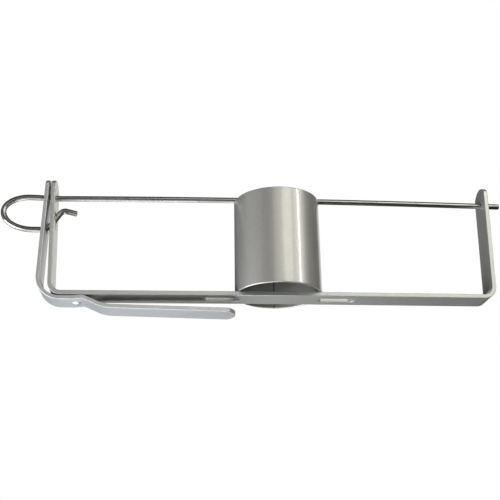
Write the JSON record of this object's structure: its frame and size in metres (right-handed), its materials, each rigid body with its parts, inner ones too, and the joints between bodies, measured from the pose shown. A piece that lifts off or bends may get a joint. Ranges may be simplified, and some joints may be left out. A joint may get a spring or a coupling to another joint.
{
  "type": "lockout hasp",
  "caption": "Bent strip frame with a round centre tube, closed by a removable sprung wire cross pin with a finger loop, and a squeeze lever under one end.",
  "frame": {"origin": "centre of the two-slot pattern on the strip's underside, which is also on the axis of the centre tube", "axes": "+X along the strip towards the plain upright and the pin's free end, +Z from the strip towards the cross pin, +Y completes the right-handed set across the strip's width"},
  "size_m": [0.3615, 0.061, 0.0988],
  "materials": {
    "frame_paint": "gloss",
    "tube_paint": "gloss",
    "weld_paint": "satin",
    "lever_paint": "gloss",
    "rivet_paint": "gloss",
    "wire_zinc": "satin"
  },
  "bodies": {
    "frame": {"frame_strip": "frame_paint", "centre_tube": "tube_paint", "tube_welds": "weld_paint"},
    "lever_body": {"lever": "lever_paint", "lever_rivet": "rivet_paint"},
    "pin": {"cross_pin": "wire_zinc", "pin_latch": "wire_zinc"}
  },
  "joints": [
    {"name": "pin_slide", "type": "slide", "parent": "frame", "child": "pin", "axis": [-1, 0, 0], "range_m": [0, 0.34], "deforming": ["pin_latch"]},
    {"name": "lever_squeeze", "type": "hinge", "parent": "frame", "child": "lever_body", "pos_m": [-0.135, 0, -0.00005], "axis": [0, -1, 0], "range_deg": [0, 4], "stiffness_Nm_per_rad": 60}
  ]
}
